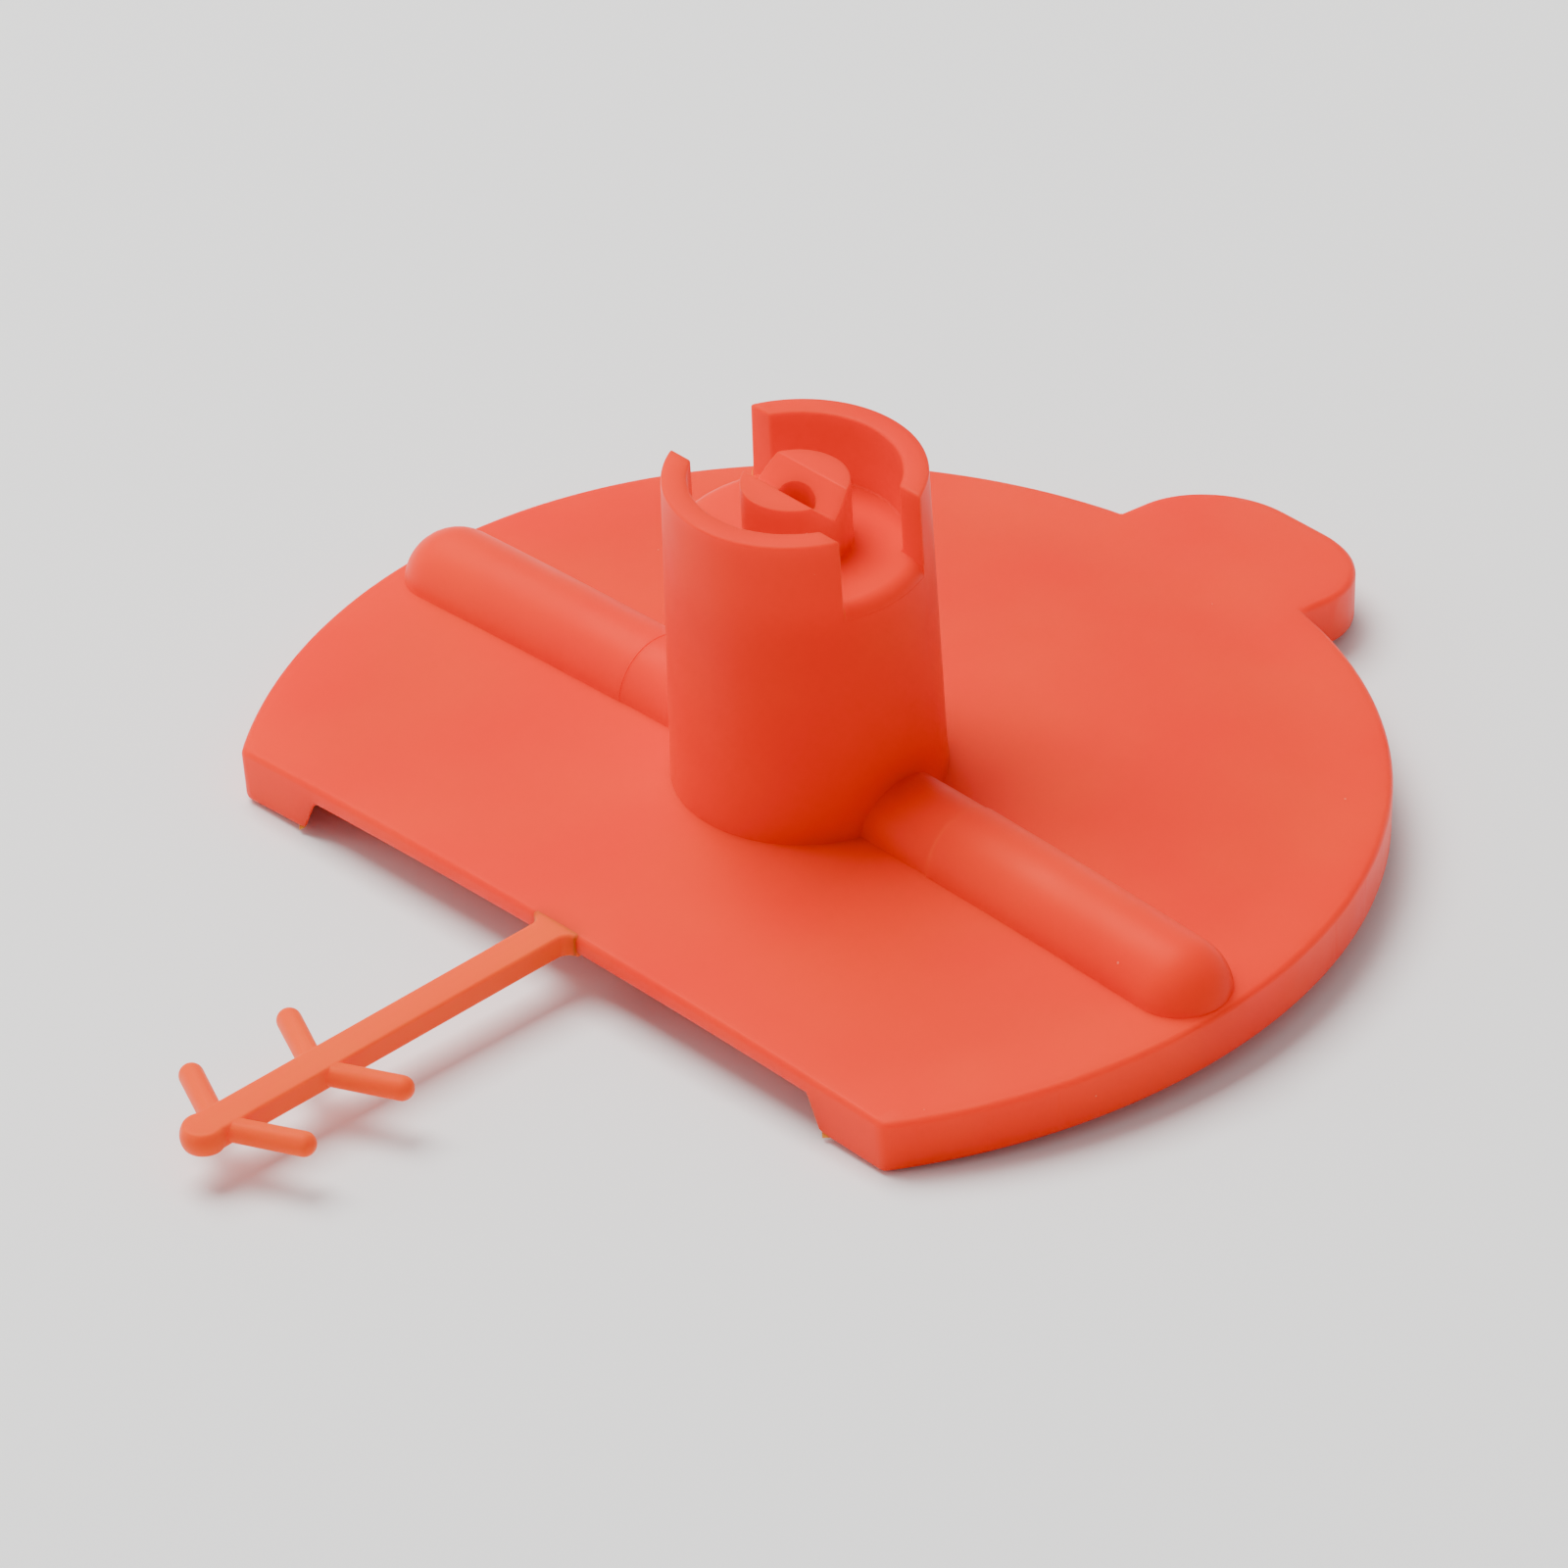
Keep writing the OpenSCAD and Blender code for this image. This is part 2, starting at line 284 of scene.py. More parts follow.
def arc(centre_x, centre_y, radius, start, end, steps):
    """Points of an arc, with its angles in degrees."""
    turns = [math.radians(start + (end - start) * i / steps) for i in range(steps + 1)]
    return [(centre_x + radius * math.cos(t), centre_y + radius * math.sin(t)) for t in turns]


def paint(piece, material):
    """Gives a whole piece one material."""
    piece.data.materials.clear()
    piece.data.materials.append(material)


def adopt(piece, nodes):
    """Lets a finished piece stand for its CAD nodes and ride on the one body."""
    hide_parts(*nodes)
    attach(piece, "root")


# ---------------------------------------------------------------- node trees


def add(tree, kind, links=None, values=None, **settings):
    """Adds a node with its settings, plain values and links from other sockets."""
    node = tree.nodes.new(kind)
    for key, value in settings.items():
        setattr(node, key, value)
    for key, value in (values or {}).items():
        node.inputs[key].default_value = value
    for key, source in (links or {}).items():
        tree.links.new(source, node.inputs[key])
    return node


def geometry_tree(name, inputs):
    """A geometry tree with a geometry input, named inputs and a geometry output."""
    tree = bpy.data.node_groups.new(name, "GeometryNodeTree")
    tree.interface.new_socket("Geometry", in_out="INPUT", socket_type="NodeSocketGeometry")
    for label, kind in inputs:
        tree.interface.new_socket(label, in_out="INPUT", socket_type=kind)
    tree.interface.new_socket("Geometry", in_out="OUTPUT", socket_type="NodeSocketGeometry")
    return tree, add(tree, "NodeGroupInput"), add(tree, "NodeGroupOutput")


def close_tree(tree, geometry, inputs, output):
    """Ends a geometry tree in Realize Instances and Set Material."""
    real = add(tree, "GeometryNodeRealizeInstances", {"Geometry": geometry})
    links = {"Geometry": real.outputs[0], "Material": inputs.outputs["Material"]}
    painted = add(tree, "GeometryNodeSetMaterial", links)
    tree.links.new(painted.outputs[0], output.inputs[0])


def run_tree(thing, tree, values):
    """Runs a geometry tree on an object with its named inputs set, and keeps the result."""
    step = thing.modifiers.new(tree.name, "NODES")
    step.node_group = tree
    for item in tree.interface.items_tree:
        if item.in_out == "INPUT" and item.name in values:
            step[item.identifier] = values[item.name]
    return settle(thing)


def maths(tree, operation, first, second):
    """A Math node on two sockets or plain numbers."""
    node = add(tree, "ShaderNodeMath", operation=operation)
    for socket, value in zip(node.inputs, (first, second)):
        if isinstance(value, (int, float)):
            socket.default_value = value
        else:
            tree.links.new(value, socket)
    return node.outputs[0]


def bow_tree():
    """Bends a flat plate: each point drops with the square of its distance along and across."""
    float_kind = "NodeSocketFloat"
    labels = [("Along", float_kind), ("Across", float_kind), ("Material", "NodeSocketMaterial")]
    tree, inputs, output = geometry_tree("Bow the plate", labels)
    place = add(tree, "GeometryNodeInputPosition")
    axes = add(tree, "ShaderNodeSeparateXYZ", {"Vector": place.outputs[0]})
    drops = []
    for axis, label in (("X", "Along"), ("Y", "Across")):
        square = maths(tree, "MULTIPLY", axes.outputs[axis], axes.outputs[axis])
        drops.append(maths(tree, "MULTIPLY", square, inputs.outputs[label]))
    total = maths(tree, "ADD", drops[0], drops[1])
    offset = add(tree, "ShaderNodeCombineXYZ", {"Z": maths(tree, "MULTIPLY", total, -1.0)})
    links = {"Geometry": inputs.outputs["Geometry"], "Offset": offset.outputs[0]}
    moved = add(tree, "GeometryNodeSetPosition", links)
    close_tree(tree, moved.outputs[0], inputs, output)
    return tree


def barb_tree():
    """Sets pairs of round-ended barbs along the arm, leaning back on both sides."""
    float_kind = "NodeSocketFloat"
    labels = [(name, float_kind) for name in ("Radius", "Length", "Lean", "First", "Pitch", "Height")]
    labels += [("Segments", "NodeSocketInt"), ("Material", "NodeSocketMaterial")]
    tree, inputs, output = geometry_tree("Barbs in pairs", labels)
    wires = inputs.outputs
    links = {"Segments": wires["Segments"], "Radius": wires["Radius"]}
    ball = add(tree, "GeometryNodeMeshUVSphere", links, {"Rings": 16})
    place = add(tree, "GeometryNodeInputPosition")
    axes = add(tree, "ShaderNodeSeparateXYZ", {"Vector": place.outputs[0]})
    upper = maths(tree, "GREATER_THAN", axes.outputs["Z"], -TINY)
    stretch = add(tree, "ShaderNodeCombineXYZ", {"Z": wires["Length"]})
    links = {"Geometry": ball.outputs[0], "Selection": upper, "Offset": stretch.outputs[0]}
    barb = add(tree, "GeometryNodeSetPosition", links)
    start = {"Y": maths(tree, "MULTIPLY", wires["First"], -1.0), "Z": wires["Height"]}
    first = add(tree, "ShaderNodeCombineXYZ", start)
    step = add(tree, "ShaderNodeCombineXYZ", {"Y": maths(tree, "MULTIPLY", wires["Pitch"], -1.0)})
    links = {"Start Location": first.outputs[0], "Offset": step.outputs[0]}
    roots = add(tree, "GeometryNodeMeshLine", links, {"Count": 2})
    both = add(tree, "GeometryNodeJoinGeometry")
    for side in (-1.0, 1.0):
        lean = maths(tree, "MULTIPLY", wires["Lean"], side)
        turn = add(tree, "ShaderNodeCombineXYZ", {"Z": lean}, {"Y": side * math.pi / 2})
        links = {"Points": roots.outputs[0], "Instance": barb.outputs[0], "Rotation": turn.outputs[0]}
        placed = add(tree, "GeometryNodeInstanceOnPoints", links)
        tree.links.new(placed.outputs[0], both.inputs[0])
    close_tree(tree, both.outputs[0], inputs, output)
    return tree


# ---------------------------------------------------------------- materials


def moulded_polypropylene(name, painted_light_share, scatter):
    """Injection-moulded polypropylene with a satin skin. Light enters and scatters in it, so its
    shaded sides glow deep red and thin walls turn lighter. The base colour is also mixed towards a
    lighter thin-wall colour: painted light that stands in for light crossing a thin wall. Its gloss
    is soft and tinted orange, where the real plastic's is white: a white gloss would wash the lit
    orange out."""
    finish = bpy.context.scene.tipup_finish
    material = bpy.data.materials.new(name)
    material.use_nodes = True
    tree = material.node_tree
    tree.nodes.clear()
    place = add(tree, "ShaderNodeTexCoord").outputs["Object"]
    # Flow marks of the melt, 9 mm across: a slight change of tone
    spread = 0.08
    flow = add(tree, "ShaderNodeTexNoise", {"Vector": place},
               {"Scale": 1 / (9 * MM), "Detail": 2.0, "Roughness": 0.4})
    tone = add(tree, "ShaderNodeMapRange", {"Value": flow.outputs["Fac"]},
               {"From Min": 0.35, "From Max": 0.65,
                "To Min": max(painted_light_share - spread, 0.0), "To Max": painted_light_share + spread})
    # Mix of the thick-wall colour and the lighter thin-wall colour, whose share is painted light
    mixed = add(tree, "ShaderNodeMix", {"Factor": tone.outputs[0]}, data_type="RGBA")
    mixed.inputs["A"].default_value = (*finish.body, 1.0)
    mixed.inputs["B"].default_value = (*finish.thin, 1.0)
    # Dust and nibs, about 0.12 mm across and 4 mm apart, as pale dots
    cells = add(tree, "ShaderNodeTexVoronoi", {"Vector": place}, {"Scale": 1 / (4 * MM)})
    dot_size, dot_strength = 0.016, 0.5
    dots = maths(tree, "LESS_THAN", cells.outputs["Distance"], dot_size)
    spotted = add(tree, "ShaderNodeMix",
                  {"Factor": maths(tree, "MULTIPLY", dots, dot_strength),
                   "A": mixed.outputs["Result"]},
                  data_type="RGBA")
    spotted.inputs["B"].default_value = (*finish.bloom, 1.0)
    # Spark-eroded mould skin: grain of 0.25 mm, and waves of 3 mm from shrinkage
    grain = add(tree, "ShaderNodeTexNoise", {"Vector": place},
                {"Scale": 1 / (0.25 * MM), "Detail": 2.0})
    waves = add(tree, "ShaderNodeTexNoise", {"Vector": place}, {"Scale": 1 / (3 * MM)})
    gloss = add(tree, "ShaderNodeMapRange", {"Value": waves.outputs["Fac"]},
                {"From Min": 0.3, "From Max": 0.7, "To Min": 0.42, "To Max": 0.5})
    relief = add(tree, "ShaderNodeBump", {"Height": grain.outputs["Fac"]},
                 {"Strength": 0.12, "Distance": 0.02 * MM})
    shader = add(tree, "ShaderNodeBsdfPrincipled",
                 {"Base Color": spotted.outputs["Result"], "Roughness": gloss.outputs[0],
                  "Normal": relief.outputs["Normal"]},
                 {"IOR": 1.49, "Specular IOR Level": 0.25, "Specular Tint": (1.0, 0.25, 0.08, 1.0),
                  "Subsurface Weight": 1.0,
                  "Subsurface Radius": (1.0, 0.22, 0.08), "Subsurface Scale": scatter})
    output = add(tree, "ShaderNodeOutputMaterial")
    tree.links.new(shader.outputs["BSDF"], output.inputs["Surface"])
    return material


def thick_moulding():
    """The plastic of the plate and the tower, made once."""
    name = "moulded polypropylene"
    scatter = bpy.context.scene.tipup_finish.scatter
    # Only a tenth of the lighter thin-wall colour, the painted light, is mixed into the thick parts
    return bpy.data.materials.get(name) or moulded_polypropylene(name, 0.1, scatter)


def painted_floor():
    """Matt painted board: an even pale surface without gloss."""
    material = bpy.data.materials.new("matt painted board")
    material.use_nodes = True
    shader = material.node_tree.nodes["Principled BSDF"]
    shader.inputs["Base Color"].default_value = (*bpy.context.scene.tipup_stage.floor, 1.0)
    shader.inputs["Roughness"].default_value = 0.9
    shader.inputs["Specular IOR Level"].default_value = 0.2
    return material


# ---------------------------------------------------------------- plate and ribs


def plate_top(x, y):
    """Height of the bowed plate's top."""
    plate = bpy.context.scene.tipup_plate
    drop = plate.bow_along * x * x + plate.bow_across * y * y
    return APEX_Z - drop / plate.radius ** 2


def plate_outline(inset):
    """Outline of the plate with its straight front edge and its tab, drawn in by the draft."""
    plate = bpy.context.scene.tipup_plate
    radius = plate.radius - inset
    half_tab = plate.tab_width / 2 - inset
    corner = plate.tab_corner - inset
    corner_x = half_tab - corner
    corner_y = plate.tab_end - inset - corner
    front = math.degrees(math.asin(plate.front / radius))
    tab = math.degrees(math.acos(half_tab / radius))
    outline = arc(0, 0, radius, -front, tab, steps=96)
    outline += arc(corner_x, corner_y, corner, 0, 90, steps=20)
    outline += arc(-corner_x, corner_y, corner, 90, 180, steps=20)
    outline += arc(0, 0, radius, 180 - tab, 180 + front, steps=96)
    return outline


def flat_plate():
    """The plate before it is bowed, with its rim and the recess under its deck."""
    plate = bpy.context.scene.tipup_plate
    solid = prism("plate", plate_outline(plate.draft), -plate.edge_height, plate_outline(0), 0)
    slope = (plate.foot_radius - plate.root_radius) / (plate.edge_height - plate.deck)
    # The recess is cut from 1 mm below the foot, along the same slope
    below = plate.edge_height + MM
    low_radius = plate.foot_radius + slope * MM
    profile = [(0, -below), (low_radius, -below), (plate.root_radius, -plate.deck), (0, -plate.deck)]
    combine(solid, [lathe("recess", profile, steps=160)], "DIFFERENCE")
    return round_edges(solid, plate.edge_round)


def cut_grid(thing, spacing):
    """Cuts a flat solid along a square grid, so that it can bend."""
    body = bmesh.new()
    body.from_mesh(thing.data)
    places = [v.co for v in thing.data.vertices]
    for axis in (0, 1):
        low = min(p[axis] for p in places)
        high = max(p[axis] for p in places)
        normal = Vector((axis == 0, axis == 1, 0))
        for step in range(math.ceil(low / spacing), math.floor(high / spacing) + 1):
            geometry = body.verts[:] + body.edges[:] + body.faces[:]
            bmesh.ops.bisect_plane(
                body, geom=geometry, dist=TINY, plane_co=normal * step * spacing, plane_no=normal
            )
    body.to_mesh(thing.data)
    body.free()
    return thing


def half_round(name, side, stations, skirt):
    """A half-round bar along the plate's top on one side of the tower. Each station is a distance
    and a radius, and the skirt reaches down below the bar's axis."""
    sink = bpy.context.scene.tipup_ribs.sink
    steps = 24
    vertices = []
    faces = []
    for x, radius in stations:
        z = plate_top(x, 0) - sink
        ring = [(-radius, z - skirt)]
        for i in range(steps + 1):
            turn = math.pi * i / steps
            ring.append((-radius * math.cos(turn), z + radius * math.sin(turn)))
        ring.append((radius, z - skirt))
        vertices += [(side * x, y, height) for y, height in ring]
    count = steps + 3
    for k in range(len(stations) - 1):
        for i in range(count):
            j = (i + 1) % count
            here, there = k * count, (k + 1) * count
            faces.append((here + i, here + j, there + j, there + i))
    faces.append(tuple(range(count)))
    last = (len(stations) - 1) * count
    faces.append(tuple(last + i for i in reversed(range(count))))
    return mesh_object(name, vertices, faces)


def round_end(reach, radius, steps, direction):
    """Stations of a bar's round end, outwards for direction 1 and inwards for -1."""
    turns = [math.pi / 2 * i / steps for i in range(1, steps + 1)]
    smallest = 0.01 * MM
    ends = []
    for turn in turns:
        across = max(radius * math.cos(turn), smallest)
        ends.append((reach + direction * radius * math.sin(turn), across))
    return ends if direction > 0 else ends[::-1]


def rib_stations():
    """Distances and radii along a rib: the collar, the step, the bar and its round end."""
    ribs = bpy.context.scene.tipup_ribs
    # The bar starts inside the tower's wall
    start = 5.5 * MM
    collar = ribs.radius - ribs.collar_step
    stations = [(start, collar), (ribs.collar_reach, collar)]
    steps = 16
    for i in range(steps + 1):
        along = ribs.collar_reach + (ribs.reach - ribs.collar_reach) * i / steps
        stations.append((along, ribs.radius))
    return stations + round_end(ribs.reach, ribs.radius, steps=12, direction=1)


def hollow_stations():
    """Distances and radii along the hollow under a rib, with both of its ends round."""
    ribs = bpy.context.scene.tipup_ribs
    tower = bpy.context.scene.tipup_tower
    plate = bpy.context.scene.tipup_plate
    radius = ribs.radius - ribs.wall
    start = tower.base_radius + ribs.wall + radius
    end = plate.root_radius - 2 * radius
    steps = 12
    middle = [(start + (end - start) * i / steps, radius) for i in range(steps + 1)]
    inner_end = round_end(start, radius, steps=8, direction=-1)
    outer_end = round_end(end, radius, steps=8, direction=1)
    return inner_end + middle + outer_end


class TIPUP_OT_plate(bpy.types.Operator):
    """Build the bowed plate with its rim, lift tab and ribs"""
    bl_idname = "tipup.plate"
    bl_label = "Plate and ribs"

    def execute(self, context):
        plate = context.scene.tipup_plate
        piece = cut_grid(flat_plate(), plate.grid)
        values = {
            "Along": plate.bow_along / plate.radius ** 2,
            "Across": plate.bow_across / plate.radius ** 2,
            "Material": thick_moulding(),
        }
        run_tree(piece, bow_tree(), values)
        piece.data.transform(Matrix.Translation((0, 0, APEX_Z)))
        # The hole ends inside the tower's wall, which closes it
        bore, reach = 5.7 * MM, 5 * MM
        profile = [(0, -reach), (bore, -reach), (bore, reach), (0, reach)]
        hole = lathe("hole", profile, steps=96)
        combine(piece, [hole], "DIFFERENCE")
        # A bar's skirt ends inside the deck, and a hollow's skirt opens it downwards
        bar_skirt, hollow_skirt = 0.5 * MM, 2 * MM
        bars = [half_round("rib", side, rib_stations(), bar_skirt) for side in (-1, 1)]
        combine(piece, bars, "UNION")
        hollows = [half_round("hollow", side, hollow_stations(), hollow_skirt) for side in (-1, 1)]
        combine(piece, hollows, "DIFFERENCE")
        piece.name = "plate_and_ribs"
        return {"FINISHED"}


# ---------------------------------------------------------------- tower and wire seat


def tower_radius(z):
    """Outer radius of the tapered tower at a height."""
    tower = bpy.context.scene.tipup_tower
    share = (z - APEX_Z) / (tower.height - APEX_Z)
    return tower.base_radius + (tower.top_radius - tower.base_radius) * share


def crowned_tower():
    """The tower's wall, notched crown, pocket floor and socket as one solid with clean faces."""
    tower = bpy.context.scene.tipup_tower
    half_notch = tower.notch_width / 2
    floor_low, floor_high = FLOOR_LOW.z, FLOOR_HIGH.z
    crown_steps, notch_steps = 48, 16
    # Each column is a stretch of the circle and a share of the way along it
    columns = []
    for centre in (0, 180):
        columns += [("notch", centre, i / notch_steps) for i in range(notch_steps)]
        columns += [("crown", centre, i / crown_steps) for i in range(crown_steps)]

    def corner(column, radius, z):
        kind, centre, share = column
        edge = math.asin(half_notch / radius)
        if kind == "notch":
            turn = -edge + 2 * edge * share
        else:
            turn = edge + (math.pi - 2 * edge) * share
        turn += math.radians(centre)
        return radius * math.cos(turn), radius * math.sin(turn), z

    rings = [
        (tower.socket_radius, floor_low),
        (tower.socket_radius, 0.0),
        (tower_radius(0.0), 0.0),
        (tower_radius(floor_high), floor_high),
        (tower_radius(tower.height), tower.height),
        (tower.pocket_radius, tower.height),
        (tower.pocket_radius, floor_high),
    ]
    count = len(columns)
    vertices = [corner(column, radius, z) for radius, z in rings for column in columns]
    faces = [tuple(range(count))]
    floor_edge = []
    for k in range(count):
        after = (k + 1) % count
        for ring in range(3):
            low, high = ring * count, (ring + 1) * count
            faces.append((low + k, low + after, high + after, high + k))
        if columns[k][0] == "crown":
            for ring in range(3, 6):
                low, high = ring * count, (ring + 1) * count
                faces.append((low + k, low + after, high + after, high + k))
        starts_crown = columns[k][0] == "crown" and columns[k][2] == 0
        starts_notch = columns[k][0] == "notch" and columns[k][2] == 0
        outer, inner = 3 * count + k, 6 * count + k
        if starts_crown or starts_notch:
            faces.append(tuple(ring * count + k for ring in (3, 4, 5, 6)))
            floor_edge += [outer, inner] if starts_crown else [inner, outer]
        else:
            floor_edge.append(inner if columns[k][0] == "crown" else outer)
    faces.append(tuple(floor_edge))
    return round_edges(mesh_object("tower", vertices, faces), tower.edge_round)


def seat_post():
    """The post with its V-shaped seat, with a mesh corner wherever the seat's edges end."""
    tower = bpy.context.scene.tipup_tower
    radius = tower.post_radius
    top, seat = JAW_HIGH.z, JAW_HIGH.z - tower.seat_depth
    # The post's foot is sunk in the pocket's floor
    sunk = 0.4 * MM
    low = FLOOR_HIGH.z - sunk
    lip = math.degrees(math.asin(tower.seat_depth / radius))
    turns = []
    for start, end, steps in ((0, lip, 6), (lip, 180 - lip, 30), (180 - lip, 180, 6),
                              (180, 180 + lip, 6), (180 + lip, 360 - lip, 30), (360 - lip, 360, 6)):
        turns += [start + (end - start) * i / steps for i in range(steps)]
    count = len(turns)
    rim = []
    for turn in turns:
        x, y = radius * math.cos(math.radians(turn)), radius * math.sin(math.radians(turn))
        rim.append((x, y, min(seat + abs(y), top)))
    vertices = [(x, y, low) for x, y, z in rim] + rim
    faces = [tuple(reversed(range(count)))]
    for k in range(count):
        after = (k + 1) % count
        faces.append((k, after, count + after, count + k))
    # Two flat tops and two slopes, each between its own corners on the rim
    marks = [0, 6, 36, 42, 48, 78, count]
    faces.append(tuple(count + k for k in range(marks[1], marks[2] + 1)))
    faces.append(tuple(count + k for k in range(marks[4], marks[5] + 1)))
    back = list(range(marks[0], marks[1] + 1)) + list(range(marks[2], marks[3] + 1))
    front = list(range(marks[3], marks[4] + 1)) + [k % count for k in range(marks[5], marks[6] + 1)]
    faces.append(tuple(count + k for k in back))
    faces.append(tuple(count + k for k in front))
    return round_edges(mesh_object("post", vertices, faces), tower.post_round)


def lip_cutter(side):
    """What lies outside the rounded lip of one notch's floor."""
    tower = bpy.context.scene.tipup_tower
    floor = FLOOR_HIGH.z
    lip = tower.lip_round
    outer = tower_radius(floor)
    # Hair's breadths that keep the cut off the flat floor and off the notch's walls
    above_floor, off_wall = 0.002 * MM, 0.01 * MM
    profile = [(0, floor + above_floor)]
    profile += arc(outer - lip, floor - lip, lip, 90, 8, steps=10)
    profile += [(outer + MM, floor - lip), (outer + MM, floor + MM), (0, floor + MM)]
    ring = lathe("lip", profile, steps=240)
    # The block that limits the ring to one notch, and to the part of the lip that curves
    beyond, curved = 0.5 * MM, 0.9 * lip
    near, far = 3.6 * MM, outer + beyond
    half = tower.notch_width / 2 - off_wall
    outline = [(side * near, -half), (side * far, -half), (side * far, half), (side * near, half)]
    block = prism("block", outline, floor - curved, outline, floor + beyond)
    return combine(ring, [block], "INTERSECT")


class TIPUP_OT_tower(bpy.types.Operator):
    """Build the crowned tower with its pocket, post, wire seat and stem socket"""
    bl_idname = "tipup.tower"
    bl_label = "Tower and wire seat"

    def execute(self, context):
        tower = context.scene.tipup_tower
        piece = combine(crowned_tower(), [seat_post()], "UNION")
        combine(piece, [lip_cutter(1), lip_cutter(-1)], "DIFFERENCE")
        long, wide = tower.slot_length / 2, tower.slot_width / 2
        steps = 48
        turns = [math.tau * i / steps for i in range(steps)]
        oval = [(long * math.cos(turn), wide * math.sin(turn)) for turn in turns]
        slot = prism("slot", oval, FLOOR_LOW.z - MM, oval, tower.height)
        combine(piece, [slot], "DIFFERENCE")
        piece.name = "tower_and_seat"
        return {"FINISHED"}


class TIPUP_OT_join(bpy.types.Operator):
    """Fuse the tower to the plate, as one shot of plastic that light can cross"""
    bl_idname = "tipup.join"
    bl_label = "Join plate and tower"

    def execute(self, context):
        piece = bpy.data.objects["plate_and_ribs"]
        combine(piece, [bpy.data.objects["tower_and_seat"]], "UNION")
        finish_mesh(piece)
        piece.name = "plate_with_tower"
        paint(piece, thick_moulding())
        nodes = ["deck_plate", "rim_bead", "lift_tab", "rib_left", "rib_right"]
        nodes += ["rib_collar_left", "rib_collar_right", "tower_wall", "crown_front", "crown_back"]
        nodes += ["pocket_floor", "seat_post", "seat_jaw_front", "seat_jaw_back"]
        adopt(piece, nodes)
        return {"FINISHED"}


# ---------------------------------------------------------------- line keeper


def arm_outline():
    """The arm seen from above, from inside the deck's edge to its end, with fillets at the root."""
    keeper = bpy.context.scene.tipup_keeper
    plate = bpy.context.scene.tipup_plate
    half = keeper.width / 2
    fillet = keeper.fillet
    wide = half + fillet
    overlap = 0.8 * MM
    inside = -plate.front + overlap
    right = [(half, -keeper.reach)]
    right += arc(wide, -plate.front - fillet, fillet, 180, 90, steps=8)
    right += [(wide, inside)]
    return right + [(-x, y) for x, y in reversed(right)]


def flat_ball():
    """The flattened ball at the arm's end."""
    keeper = bpy.context.scene.tipup_keeper
    half = keeper.thickness / 2
    steps = 24
    profile = []
    for i in range(steps + 1):
        turn = -math.pi / 2 + math.pi * i / steps
        height = max(-half, min(half, keeper.end_radius * math.sin(turn)))
        profile.append((keeper.end_radius * math.cos(turn), height))
    ball = lathe("ball", profile, steps=48)
    ball.data.transform(Matrix.Translation((0, -keeper.reach, -half)))
    return ball


class TIPUP_OT_keeper(bpy.types.Operator):
    """Build the line keeper's arm with its round end and two pairs of barbs"""
    bl_idname = "tipup.keeper"
    bl_label = "Line keeper"

    def execute(self, context):
        keeper = context.scene.tipup_keeper
        plate = context.scene.tipup_plate
        scatter = context.scene.tipup_finish.scatter / 2
        # Painted light: most of the thin arm shows the lighter thin-wall colour, which stands in for
        # light that crosses it
        plastic = moulded_polypropylene("thin moulded polypropylene painted lighter", 0.75, scatter)
        outline = arm_outline()
        piece = prism("arm", outline, -keeper.thickness, outline, 0)
        round_edges(piece, keeper.edge_round)
        values = {
            "Radius": keeper.barb_diameter / 2,
            "Length": keeper.barb_length,
            "Lean": keeper.barb_lean,
            "First": keeper.inner_barbs,
            "Pitch": keeper.outer_barbs - keeper.inner_barbs,
            "Height": -keeper.thickness / 2,
            "Segments": keeper.segments,
            "Material": plastic,
        }
        barbs = run_tree(mesh_object("barbs", [], []), barb_tree(), values)
        combine(piece, [flat_ball(), barbs], "UNION", crossing=True)
        root = Matrix.Translation((0, -plate.front, plate_top(0, plate.front)))
        lift = Matrix.Rotation(-keeper.rise, 4, "X")
        piece.data.transform(root @ lift @ Matrix.Translation((0, plate.front, 0)))
        finish_mesh(piece)
        piece.name = "line_keeper"
        paint(piece, plastic)
        nodes = ["arm_root", "arm_stem", "arm_end", "barb_inner_left", "barb_inner_right"]
        nodes += ["barb_outer_left", "barb_outer_right"]
        adopt(piece, nodes)
        return {"FINISHED"}


# ---------------------------------------------------------------- stage


def view_axes(back, roll):
    """The right and the up of a view that looks against a direction, turned by a roll."""
    right = Vector((0, 0, 1)).cross(back).normalized()
    up = back.cross(right)
    turned = right * math.cos(roll) - up * math.sin(roll)
    upright = right * math.sin(roll) + up * math.cos(roll)
    return turned, upright


def aim(place, direction, roll):
    """A place and turn that look along a direction, with the view turned by a roll."""
    back = -direction.normalized()
    turned, upright = view_axes(back, roll)
    turn = Matrix((turned, upright, back)).transposed().to_4x4()
    return Matrix.Translation(place) @ turn


def soft_light(name, place, size, power, tint):
    """A square area light that faces the tower. Lengths are in metres and power is in watts."""
    target = Vector((0, 0, 5 * MM))
    data = bpy.data.lights.new(name, "AREA")
    data.shape = "SQUARE"
    data.size = size
    data.energy = power
    data.color = tint
    lamp = bpy.data.objects.new(name, data)
    bpy.context.scene.collection.objects.link(lamp)
    lamp.matrix_world = aim(Vector(place), target - Vector(place), 0.0)
    return lamp


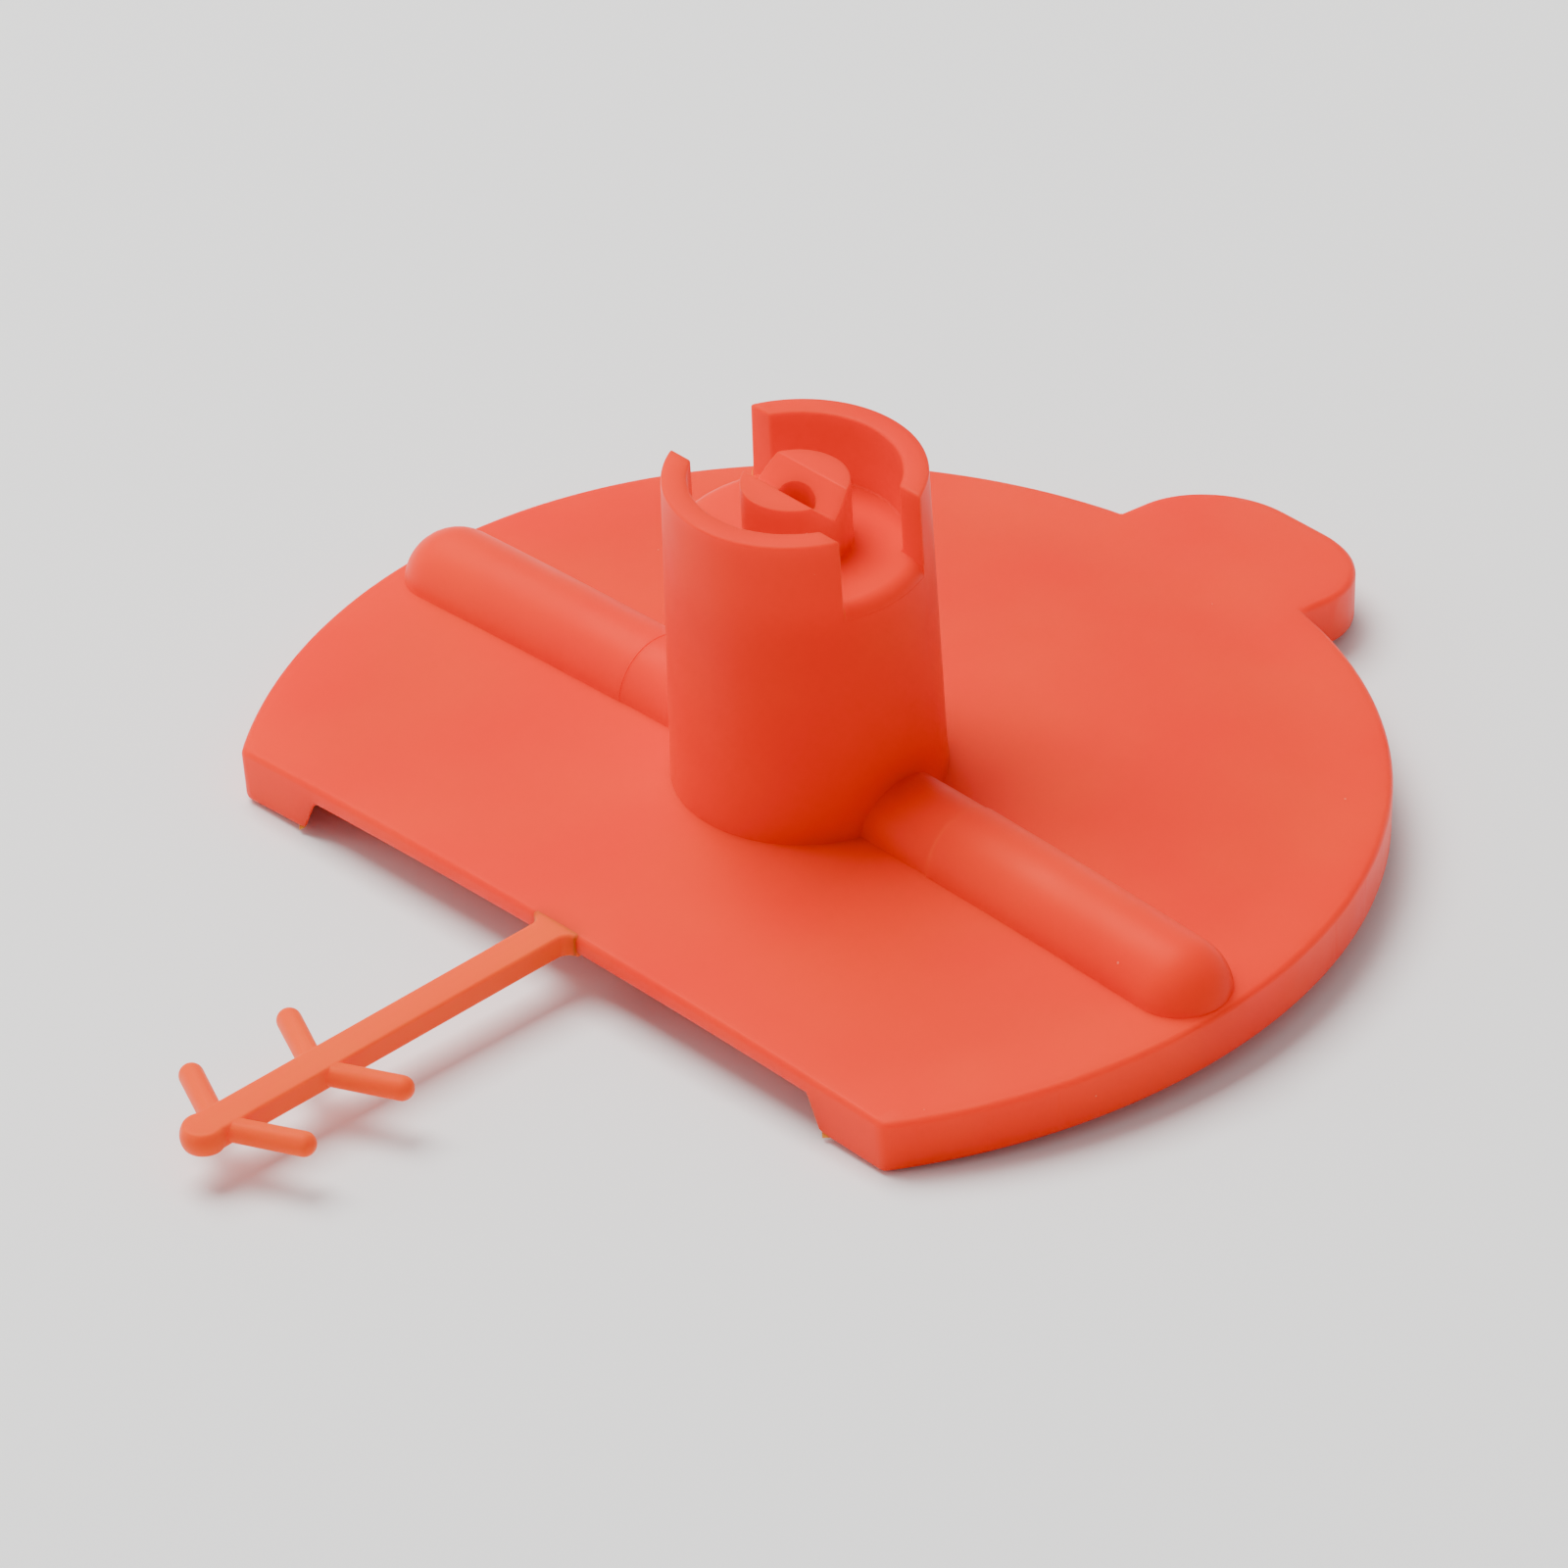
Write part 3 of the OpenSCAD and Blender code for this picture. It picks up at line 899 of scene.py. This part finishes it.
class TIPUP_OT_stage(bpy.types.Operator):
    """Set up the camera, the pale floor and the soft studio lights"""
    bl_idname = "tipup.stage"
    bl_label = "Stage"

    def execute(self, context):
        stage = context.scene.tipup_stage
        # Camera
        turn, height = stage.azimuth, stage.elevation
        level = math.cos(height)
        back = Vector((math.sin(turn) * level, -math.cos(turn) * level, math.sin(height)))
        turned, upright = view_axes(back, stage.roll)
        direction = -back - turned * math.tan(stage.aside) - upright * math.tan(stage.below)
        place = Vector((0, 0, APEX_Z)) + back * stage.distance
        data = bpy.data.cameras.new("camera")
        data.lens = stage.lens
        data.sensor_width = 36
        data.clip_start = 0.01
        camera = bpy.data.objects.new("camera", data)
        context.scene.collection.objects.link(camera)
        camera.matrix_world = aim(place, direction, stage.roll)
        context.scene.camera = camera
        # Floor that touches the tab's end and the two feet at the front edge
        plate = context.scene.tipup_plate
        foot_x = math.sqrt(plate.radius ** 2 - plate.front ** 2)
        foot_z = plate_top(foot_x, plate.front) - plate.edge_height
        tab_z = plate_top(0, plate.tab_end) - plate.edge_height
        slope = (tab_z - foot_z) / (plate.tab_end + plate.front)
        reach, gap = 3.0, 0.1 * MM
        square = [(-reach, -reach), (reach, -reach), (reach, reach), (-reach, reach)]
        base = foot_z - gap
        places = [(x, y, base + slope * (y + plate.front)) for x, y in square]
        floor = mesh_object("floor", places, [(0, 1, 2, 3)])
        floor.data.materials.append(painted_floor())
        # Lights
        white, warm_white = (1.0, 1.0, 1.0), (1.0, 0.99, 0.97)
        soft_light("key", (-0.42, 0.0, 0.92), size=0.7, power=17.2, tint=warm_white)
        soft_light("fill", (-0.7, -0.5, 0.35), size=0.5, power=1.5, tint=white)
        world = bpy.data.worlds.new("studio")
        context.scene.world = world
        world.use_nodes = True
        backdrop = world.node_tree.nodes["Background"]
        backdrop.inputs["Color"].default_value = (*white, 1.0)
        backdrop.inputs["Strength"].default_value = 0.48
        return {"FINISHED"}


# ---------------------------------------------------------------- panel and registration


class TIPUP_PT_panel(bpy.types.Panel):
    """Lists the steps that build the tip-up's top plate"""
    bl_idname = "TIPUP_PT_panel"
    bl_label = "Tip-up top plate"
    bl_space_type = "VIEW_3D"
    bl_region_type = "UI"
    bl_category = "Tip-up"

    def draw(self, context):
        for step in STEPS:
            self.layout.operator(step.bl_idname)


SETTINGS = {
    "tipup_plate": PlateSettings,
    "tipup_tower": TowerSettings,
    "tipup_ribs": RibSettings,
    "tipup_keeper": KeeperSettings,
    "tipup_finish": FinishSettings,
    "tipup_stage": StageSettings,
}
STEPS = (TIPUP_OT_stage, TIPUP_OT_plate, TIPUP_OT_tower, TIPUP_OT_join, TIPUP_OT_keeper)
CLASSES = (*SETTINGS.values(), *STEPS, TIPUP_PT_panel)


def register():
    for kind in CLASSES:
        bpy.utils.register_class(kind)
    for name, kind in SETTINGS.items():
        setattr(bpy.types.Scene, name, PointerProperty(type=kind))


def unregister():
    for name in SETTINGS:
        delattr(bpy.types.Scene, name)
    for kind in reversed(CLASSES):
        bpy.utils.unregister_class(kind)


def main():
    """Builds every piece in order."""
    register()
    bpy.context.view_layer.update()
    bpy.ops.tipup.stage()
    bpy.ops.tipup.plate()
    bpy.ops.tipup.tower()
    bpy.ops.tipup.join()
    bpy.ops.tipup.keeper()


if __name__ == "__main__":
    main()
